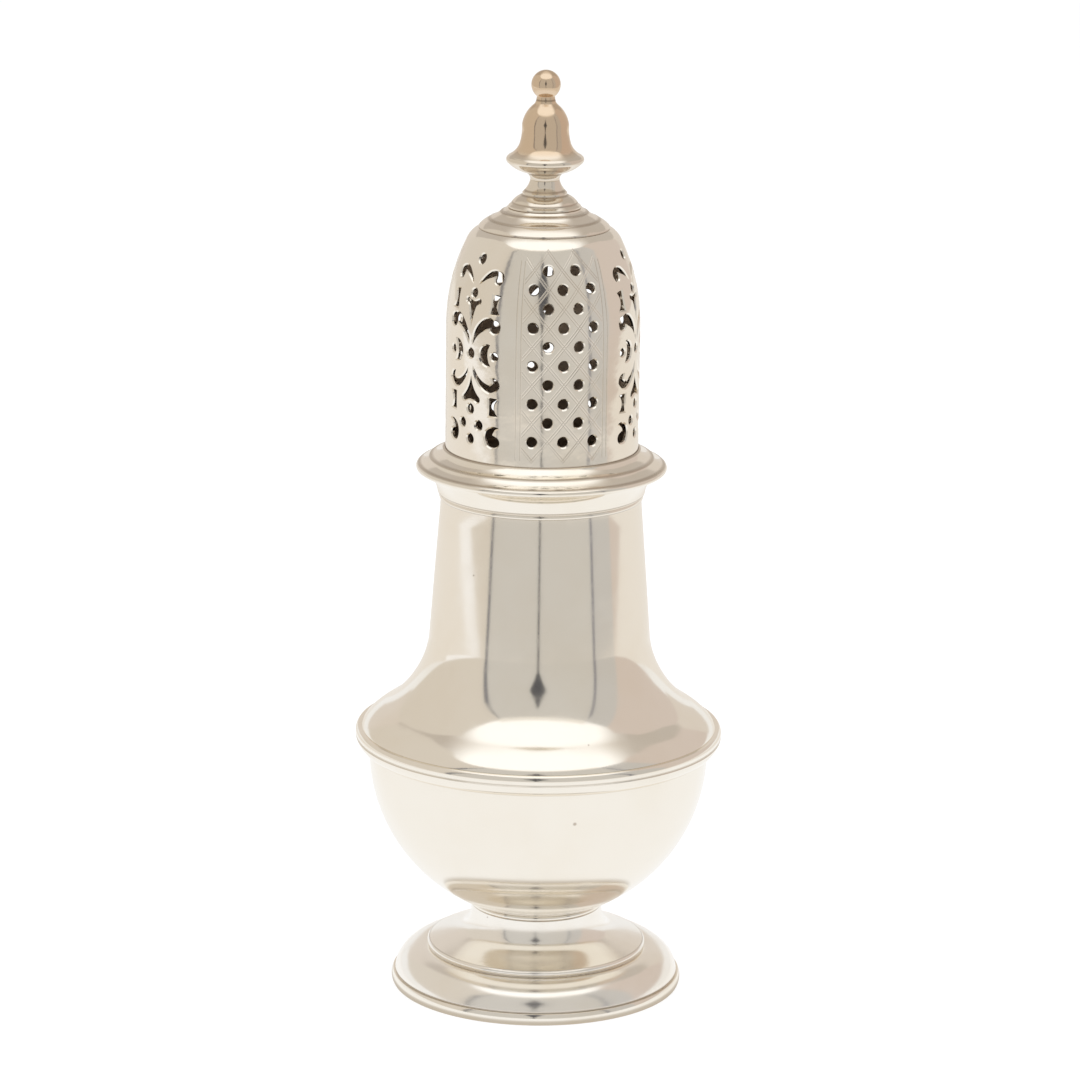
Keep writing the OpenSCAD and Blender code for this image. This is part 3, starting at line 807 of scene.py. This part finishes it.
place = board.node("ShaderNodeCombineXYZ", {
    "X": r * angle.math("SINE"), "Y": r * angle.math("COSINE") * -1, "Z": z})
outward = board.node("ShaderNodeCombineXYZ", {
    "X": lean.math("COSINE") * angle.math("SINE"), "Y": lean.math("COSINE") * angle.math("COSINE") * -1,
    "Z": lean.math("SINE")})
lattice = board.node("GeometryNodeStoreNamedAttribute", {
    "Geometry": lattice, "Name": "outward", "Value": outward}, data_type="FLOAT_VECTOR", domain="POINT")
lattice = board.node("GeometryNodeSetPosition", {"Geometry": lattice, "Position": place})
facing = board.node("GeometryNodeInputNamedAttribute", {"Name": "outward"}, data_type="FLOAT_VECTOR")
square = board.node("FunctionNodeAlignRotationToVector", {"Vector": facing}, axis="Z")
hole_r = given["Hole Diameter"] / 2
drill = board.node("GeometryNodeMeshCylinder", {
    "Vertices": DRILL_SIDES, "Radius": hole_r, "Depth": -2 * CUT_IN * MM})
CONE_IN = 1.2 * LIP
cone = board.node("GeometryNodeMeshCone", {
    "Vertices": DRILL_SIDES, "Radius Top": hole_r + (LIP + CUT_OUT) * MM,
    "Radius Bottom": hole_r - (CONE_IN - LIP) * MM, "Depth": (CONE_IN + CUT_OUT) * MM})
cone = board.node("GeometryNodeTransform", {"Geometry": cone, "Translation": (0, 0, -CONE_IN * MM)})
scrolls = board.node("GeometryNodeObjectInfo", {"Object": given["Scroll Cutters"]}, output="Geometry")
axis = board.node("GeometryNodePoints", {"Count": given["Panels"]})


def copies(points, thing, rotation):
    """Real copies of a thing on points."""
    placed = board.node("GeometryNodeInstanceOnPoints", {
        "Points": points, "Instance": thing, "Rotation": rotation})
    return board.node("GeometryNodeRealizeInstances", {"Geometry": placed})


def round_axis(panel, start):
    """Copies of a panel, spread evenly round the axis from a starting angle."""
    angle = board.node("GeometryNodeInputIndex") / given["Panels"] * math.tau + start
    spin = board.node("FunctionNodeEulerToRotation", {
        "Euler": board.node("ShaderNodeCombineXYZ", {"Z": angle})})
    return copies(axis, panel, spin)


HALF_PANEL = math.pi / PANELS
cutters = [round_axis(copies(lattice, tool, square), given["Lattice Turn"]) for tool in (drill, cone)]
cutters.append(round_axis(scrolls, given["Lattice Turn"] - HALF_PANEL))
cut = board.node("GeometryNodeMeshBoolean", {"Mesh 1": given["Geometry"], "Mesh 2": cutters},
                 operation="DIFFERENCE", solver="MANIFOLD")
end_tree(board, given, cut)
print("piercing tree:", len(pierce.nodes), "nodes")

# %% [markdown]
# ## Engraving on the cover
# The lattice panels carry engraved double lines that cross between the holes, so that each hole sits in a
# lozenge, and upright double lines frame each panel. They are hair-thin, so they are drawn in the material:
# from the angle and the height, the nodes work out the distance to the nearest line, and a bump presses it into
# the metal.

# %% Lattice lines
PITCH, STEP, ROWS, FIRST_ROW = 3.6, 5.95, 10, 6.9 - (spring_z - ledge_z)
LATTICE_TURN, HOLE_ACROSS = math.radians(12.5), 1.9
LINE_APART, LINE_WIDE = 0.23, 0.13
FRAME_LINES, FRAME_TOP = (8.1, 9.0), (15, 15.4)


def lattice_lines(board, place):
    """The depth of the engraved lines, 0 to 1, and the dirt in them."""
    x, y, z = board.split(place)
    third = math.tau / PANELS
    turn = x.math("ARCTAN2", y * -1) - LATTICE_TURN
    turn = turn.math("WRAP", third / 2, -third / 2)
    across = turn * dome_r
    above = z / MM - spring_z
    lean = (above.math("MAXIMUM", 0) / ARCH_R).math("MINIMUM", 0.99).math("ARCSINE")
    s = above.math("MINIMUM", 0) + lean * ARCH_R
    u, v = across / (STEP / 2), (s - FIRST_ROW) / PITCH
    slant = math.hypot(2 / STEP, 1 / PITCH)
    cut = None
    for crossing in ((u + v) / 2, (u - v) / 2):
        away = (crossing.math("FRACT") - 0.5).math("ABSOLUTE") * (2 / slant)
        line = 1 - (away - LINE_APART).math("ABSOLUTE").step(0.02, LINE_WIDE)
        cut = line if cut is None else cut.math("MAXIMUM", line)
    tooth = u.math("PINGPONG", 1)
    inside_panel = (v + 1.12 - tooth).step(0, 0.05) * (1 - (v - (ROWS - 1) - tooth).step(0.1, 0.15))
    inside_panel = inside_panel * (1 - across.math("ABSOLUTE").step(FRAME_LINES[0] - 0.3, FRAME_LINES[0] - 0.25))
    cut = cut * inside_panel
    frame_height = (v + 1).step(0, 0.1) * (1 - s.step(*FRAME_TOP))
    for line_x in FRAME_LINES:
        upright = 1 - (across.math("ABSOLUTE") - line_x).math("ABSOLUTE").step(0.02, LINE_WIDE)
        cut = cut.math("MAXIMUM", upright * frame_height)
    return cut * 1.4, cut * 0.3


dome_metal = silver("dome_silver", film=0.4, wave=0.28, grooves=(flange_top,), marks=lattice_lines)
print("dome silver:", len(dome_metal.node_tree.nodes), "nodes")

# %% Pierce the dome
dome, count = profile_object("pierced_dome", dome_profile, closed=True)
run_tree(dome, lathe, {"Profile Points": count, "Steps Round": STEPS_ROUND, "Metal": dome_metal})
run_tree(dome, pierce, {
    "Scroll Cutters": scroll_cutters, "Rows": ROWS, "Row Pitch": PITCH * MM, "Hole Step": STEP * MM,
    "Hole Diameter": HOLE_ACROSS * MM, "First Row": FIRST_ROW * MM, "Wall Radius": dome_r * MM,
    "Arch Radius": ARCH_R * MM, "Spring Height": spring_z * MM, "Lattice Turn": LATTICE_TURN,
    "Panels": PANELS, "Metal": dome_metal})
keep_mesh(dome)
face_outwards(dome.data)
print("pierced dome:", len(dome.data.polygons), "faces")

# %% [markdown]
# Cutting leaves long thin faces, and on a mirror their averaged normals would show as scratches of light. The
# dome's true direction is known at every height, so it is written into the mesh as custom normals, on the
# outside and the inside wall alike. The cut edges keep their own normals.

# %% True normals for the dome
mesh = dome.data
mesh.set_sharp_from_angle(angle=math.radians(35))
heights = np.array([v.co.z for v in mesh.vertices]) / MM
spots = np.array([v.co for v in mesh.vertices])
normals = np.array([tuple(n.vector) for n in mesh.corner_normals])
lean = np.arcsin(np.clip((heights - spring_z) / ARCH_R, 0, ARCH_H / ARCH_R))
flat = spots[:, :2] / np.maximum(np.linalg.norm(spots[:, :2], axis=1), 1e-9)[:, None]
true = np.column_stack([flat * np.cos(lean)[:, None], np.sin(lean)])
for face in mesh.polygons:
    if face.center.z > (spring_z + ARCH_H) * MM:
        continue
    for corner in face.loop_indices:
        away = true[mesh.loops[corner].vertex_index]
        agree = face.normal.dot(Vector(away))
        if abs(agree) > 0.95:
            normals[corner] = away * math.copysign(1, agree)
mesh.normals_split_custom_set(normals)
line_inside(dome)
belongs(dome, "cover_dome", "cover")

# %% [markdown]
# ## The cap, the pedestal and the finial
# A thin moulded cap covers the dome's flat top. The finial stands on it on a stepped pedestal: a waist, a thin
# disc, a bell and a ball, cast in one. The casting has gone more coppery than the sheet, most of all on the
# bell and the ball, so its silver gets a second colour that comes in with height.

# %% Cap and pedestal
CAP_STEP_H, CAP_STEP_IN, CAP_SHEET, SEAT_W, CAP_SWELL = 1.7, 2.0, 0.8, 1.1, 0.12
CAP_TONE, CAST, COPPER = (0.87, 0.81, 0.72, 1), (0.82, 0.75, 0.65, 1), (0.74, 0.57, 0.40, 1)
step_r, step_z = cap_r - CAP_STEP_IN, dome_top + CAP_STEP_H
crown_r, roof = pedestal_r + BEAD, cap_top - CAP_SHEET
ring_r, ring_z = crown_r + 3 * FILLET, cap_top - 2 * FILLET
cap_metal = silver("cap_silver", film=0.5, wave=0.01, colour=CAP_TONE,
                   grooves=(dome_top + 0.05, step_z + 0.05, ring_z + 0.1))
cap = turn("dome_cap", trace(
    (cap_r, dome_top), (cap_r - GROOVE, dome_top + FILLET, CAP_SWELL), (step_r, step_z),
    (step_r - GROOVE, step_z + GROOVE, -GROOVE), (ring_r, ring_z), (ring_r - GROOVE, ring_z + GROOVE, -GROOVE),
    (crown_r, cap_top), (PEG_HOLE_R, cap_top),
    (PEG_HOLE_R, roof), (crown_r - CAP_SHEET, roof, BEAD), (step_r - CAP_SHEET, step_z - CAP_SHEET),
    (cap_r - SEAT_W, dome_top)), cap_metal)
belongs(cap, "cover_cap", "cover")

PEDESTAL_STEP_H, PEDESTAL_STEP_R, WAIST_R = 2.5, 4.2, 2.75
low_z, step_z = cap_top + 2.5 * FILLET, cap_top + PEDESTAL_STEP_H
base_r = pedestal_r - 2 * BEAD
pedestal_metal = silver("pedestal_silver", film=0.7, wave=0.004, colour=CAST,
                        grooves=(cap_top, low_z, step_z, step_z + 2 * FILLET))
pedestal = turn("finial_base", trace(
    (PEG_HOLE_R, cap_top), (pedestal_r, cap_top), (pedestal_r, cap_top + FILLET), (base_r, low_z - GROOVE),
    (base_r, low_z, GROOVE), (PEDESTAL_STEP_R + BEAD, step_z - GROOVE), (PEDESTAL_STEP_R, step_z),
    (PEDESTAL_STEP_R, step_z + FILLET), (PEDESTAL_STEP_R - FILLET, step_z + 2 * FILLET, -GROOVE),
    (WAIST_R, pedestal_top), (PEG_HOLE_R, pedestal_top)), pedestal_metal)
belongs(pedestal, "finial_pedestal", "cover")

# %% Finial
WAIST_H, DISC_H, BELL_H, BELL_R = 3.2, 1.2, 10.0, 4.4
KNOP_H, BELL_FOOT_H, BELL_WALL_H = 2.0, 2.4, 3.6
BALL_R, BALL_NECK_R, BALL_NECK_H, PEG_R = 2.75, 1.7, 1.3, 1.2
disc_r = wide("finial") - BEAD
disc_z = pedestal_top + WAIST_H
lip_top = disc_z + DISC_H
knop_r, knop_z = WAIST_R + 2 * BEAD, disc_z - KNOP_H
bell_low, bell_top = lip_top + BELL_FOOT_H, lip_top + BELL_H
ball_low = math.asin(BALL_NECK_R / BALL_R)
ball_z = bell_top + BALL_NECK_H + BALL_R * math.cos(ball_low)
ball_angles = [ball_low + (math.pi - ball_low) * i / 24 for i in range(25)]
ball = [Vector((BALL_R * math.sin(a), ball_z - BALL_R * math.cos(a))) for a in ball_angles]
stem = trace(
    (0, low("finial")), (PEG_R, low("finial")), (PEG_R, pedestal_top), (WAIST_R, pedestal_top, -GROOVE),
    (knop_r, knop_z), (knop_r + GROOVE, knop_z + GROOVE, BEAD), (disc_r, disc_z, BEAD), (disc_r, lip_top),
    (disc_r - GROOVE, lip_top + GROOVE, -BEAD), (BELL_R + FILLET, bell_low, -GROOVE),
    (BELL_R, bell_low + BELL_WALL_H, FILLET), (BALL_NECK_R + 2 * BEAD, bell_top - BEAD),
    (BALL_NECK_R + BEAD, bell_top, -GROOVE / 2), (BALL_NECK_R, bell_top + BALL_NECK_H))
coppery = {"share": lambda height: height.step(lip_top, lip_top + 1.5) * 0.85, "colour": COPPER}
finial_metal = silver("finial_silver", film=0.6, wave=0.004, grooves=(knop_z, bell_top + 0.6), dirt=0.7,
                      colour=CAST, tint=coppery)
finial = turn("bell_finial", stem[:-1] + ball, finial_metal, closed=False)
belongs(finial, "finial", "cover")

# %% [markdown]
# ## Floor and light
# The caster stands on a plain white table under one large soft light. Through Light Path, the camera sees the
# table white with a soft shadow, and reflections see it white near by, cream farther off and shaded close to
# the foot.

# %% Floor, world and lamp
CREAM = (0.87, 0.83, 0.78, 1)
FOOT_SHADE = (0.60, 0.55, 0.49, 1)
# From the axis, in metres: where mirrored table turns cream, and where the shade of the foot ends.
POOL, SHADE = (0.16, 0.34), (0.028, 0.0315)
SKY, TO_CAMERA, TO_MIRRORS = 0.6, 0.4, 0.33


def ray_kind(board):
    """Two wires: 1 for rays from the camera, and 1 for rays from mirrors or through glass."""
    ray = board.node("ShaderNodeLightPath").socket.node.outputs
    glossy_ray, glass_ray = Wire(board, ray["Is Glossy Ray"]), Wire(board, ray["Is Transmission Ray"])
    return Wire(board, ray["Is Camera Ray"]), glossy_ray.math("MAXIMUM", glass_ray)


def flat_mesh(name, points, faces):
    mesh = bpy.data.meshes.new(name)
    mesh.from_pydata(points, [], faces)
    thing = add_object(name, mesh)
    return thing


def sheet(name, half, z):
    corners = [(-half, -half, z), (half, -half, z), (half, half, z), (-half, half, z)]
    return flat_mesh(name, corners, [(0, 1, 2, 3)])


floor = sheet("floor", 6.0, 0)
paper, board = new_material("white_table")
x, y, _ = board.split(board.node("ShaderNodeTexCoord", output="Object"))
from_axis = (x * x + y * y).math("SQRT")
pool = from_axis.step(*POOL)
camera_ray, mirror_ray = ray_kind(board)
dim = board.node("ShaderNodeBsdfDiffuse", {"Color": (0.42, 0.42, 0.42, 1)})
glow = board.node("ShaderNodeEmission", {"Color": (1, 1, 1, 1), "Strength": 0.72})
shown = board.node("ShaderNodeAddShader", {0: dim, 1: glow})
near_foot = 1 - from_axis.step(*SHADE)
mirrored_colour = board.mix(near_foot, board.mix(pool, (1, 1, 1, 1), CREAM), FOOT_SHADE)
mirrored = board.node("ShaderNodeEmission", {"Color": mirrored_colour, "Strength": 1})
plain = board.node("ShaderNodeBsdfDiffuse", {"Color": (0.8, 0.8, 0.8, 1)})
table = board.node("ShaderNodeMixShader", {0: mirror_ray, 1: plain, 2: mirrored})
table = board.node("ShaderNodeMixShader", {0: camera_ray, 1: table, 2: shown})
board.node("ShaderNodeOutputMaterial", {"Surface": table})
floor.data.materials.append(paper)

world = bpy.data.worlds.new("studio")
world.use_nodes = True
bpy.context.scene.world = world
board = Board(world.node_tree)
camera_ray, mirror_ray = ray_kind(board)
sky = board.node("ShaderNodeBackground", {
    "Color": (1, 1, 1, 1), "Strength": SKY + camera_ray * TO_CAMERA + mirror_ray * TO_MIRRORS})
board.node("ShaderNodeOutputWorld", {"Surface": sky})

softbox = bpy.data.lights.new("softbox", "AREA")
softbox.size = 1.4
softbox.energy = 9
lamp = add_object("softbox", softbox)
lamp.location = (0, -0.1, 1.1)
lamp.visible_glossy = False
print("softbox", softbox.energy, "W")

# %% [markdown]
# ## What the silver sees
# A mirror needs something to mirror. In the photograph the caster reflects a room in front of it: a grey-beige
# stretch with dark edges, the camera on its stand, and warm walls at both sides. Curved cards stand round the
# caster for these, and a soft-edged bright field hangs above it. They show only in reflections, cast no shadow
# and light nothing, so the studio stays plain and white.

# %% Cards in the reflections
CARD_R = 0.45


def only_in_mirrors(thing, colour):
    """Gives a card its own light, which only reflections see; colour takes a board and gives a colour."""
    material, board = new_material(thing.name)
    light = board.node("ShaderNodeEmission", {"Color": colour(board), "Strength": 1})
    board.node("ShaderNodeOutputMaterial", {"Surface": light})
    thing.data.materials.append(material)
    thing.visible_camera = thing.visible_diffuse = thing.visible_shadow = thing.visible_transmission = False


def card(name, edges, colour, radius=CARD_R):
    """A curved card through upright edges: degrees from the front towards +X, lowest and highest point in m."""
    points, faces = [], []
    for (turn_a, low_a, high_a), (turn_b, low_b, high_b) in zip(edges, edges[1:]):
        steps = max(1, math.ceil(abs(turn_b - turn_a) / 5))
        for i in range(steps + 1):
            t = i / steps
            a = math.radians(turn_a + (turn_b - turn_a) * t)
            for z in (low_a + (low_b - low_a) * t, high_a + (high_b - high_a) * t):
                points.append((radius * math.sin(a), -radius * math.cos(a), z))
            if i:
                n = len(points)
                faces.append((n - 4, n - 2, n - 1, n - 3))
    thing = flat_mesh(name, points, faces)
    only_in_mirrors(thing, lambda board: (*colour, 1))


ROOM, STRIP, BACK = (0.64, 0.62, 0.59), (0.60, 0.585, 0.57), (0.74, 0.68, 0.62)
WALL_L, WALL_R = (0.72, 0.67, 0.605), (0.68, 0.60, 0.55)
ROOM_TOP, STREAK = (0.93, 0.89, 0.83), (1, 1, 1.02)
DARK, EDGE_LEFT, EDGE_RIGHT = (0.10, 0.10, 0.11), (0.22, 0.22, 0.24), (0.28, 0.28, 0.31)
EDGE_R, CAMERA_R = CARD_R - 0.002, CARD_R - 0.004
card("room_front", [(-54, 0.001, 0.42), (-45, 0.001, 0.66), (54, 0.001, 0.66), (58, 0.001, 0.5)], ROOM)
card("room_top", [(-45, 0.66, 0.74), (54, 0.66, 0.74)], ROOM_TOP)
card("room_strip", [(54, 0.66, 0.68), (58, 0.5, 0.68), (58, 0.001, 0.68), (82, 0.001, 0.68)], STRIP)
card("wall_left", [
    (-45, 0.66, 0.70), (-54, 0.42, 0.70), (-54, 0.001, 0.70), (-80, 0.03, 0.76), (-107, 0.066, 0.83),
    (-129, 0.10, 0.58), (-143, 0.125, 0.31)], WALL_L)
card("wall_right", [
    (82, 0.001, 0.68), (97, 0.025, 0.74), (122, 0.085, 0.58), (133, 0.116, 0.38), (143, 0.13, 0.30)], WALL_R)
card("wall_back", [(143, 0.11, 0.30), (180, 0.11, 0.28), (217, 0.11, 0.31)], BACK)
card("streak_left", [(-62, 0.0, 0.006), (-80, 0.005, 0.03), (-107, 0.03, 0.066)], STREAK)
card("edge_left", [(-56, 0.001, 0.38), (-53, 0.001, 0.46), (-51, 0.44, 0.51), (-45, 0.62, 0.66)], EDGE_LEFT,
     EDGE_R)
card("edge_right", [(55.5, 0.001, 0.60), (58.5, 0.001, 0.54)], EDGE_RIGHT, EDGE_R)
card("camera_stand", [(-1.9, 0.001, 0.14), (0, 0.001, 0.14)], DARK, CAMERA_R)
card("camera_body", [
    (-8.5, 0.275, 0.30), (-4.6, 0.19, 0.37), (-0.9, 0.08, 0.52), (2.8, 0.19, 0.37), (6.7, 0.275, 0.30)],
     DARK, CAMERA_R)


def field(board):
    """Bright above and in front of the caster, softer behind it and dim at the sides, most of all at the back."""
    x, y, _ = board.split(board.node("ShaderNodeTexCoord", output="Object"))
    length = board.mix(y.step(0.0, 0.5), (1.2, 1.2, 1.2, 1), (0.84, 0.79, 0.73, 1))
    return board.mix((x.math("ABSOLUTE") + y * 0.7).step(0.45, 0.95), length, (0.56, 0.51, 0.46, 1))


only_in_mirrors(sheet("ceiling", 3.0, 1.1), field)
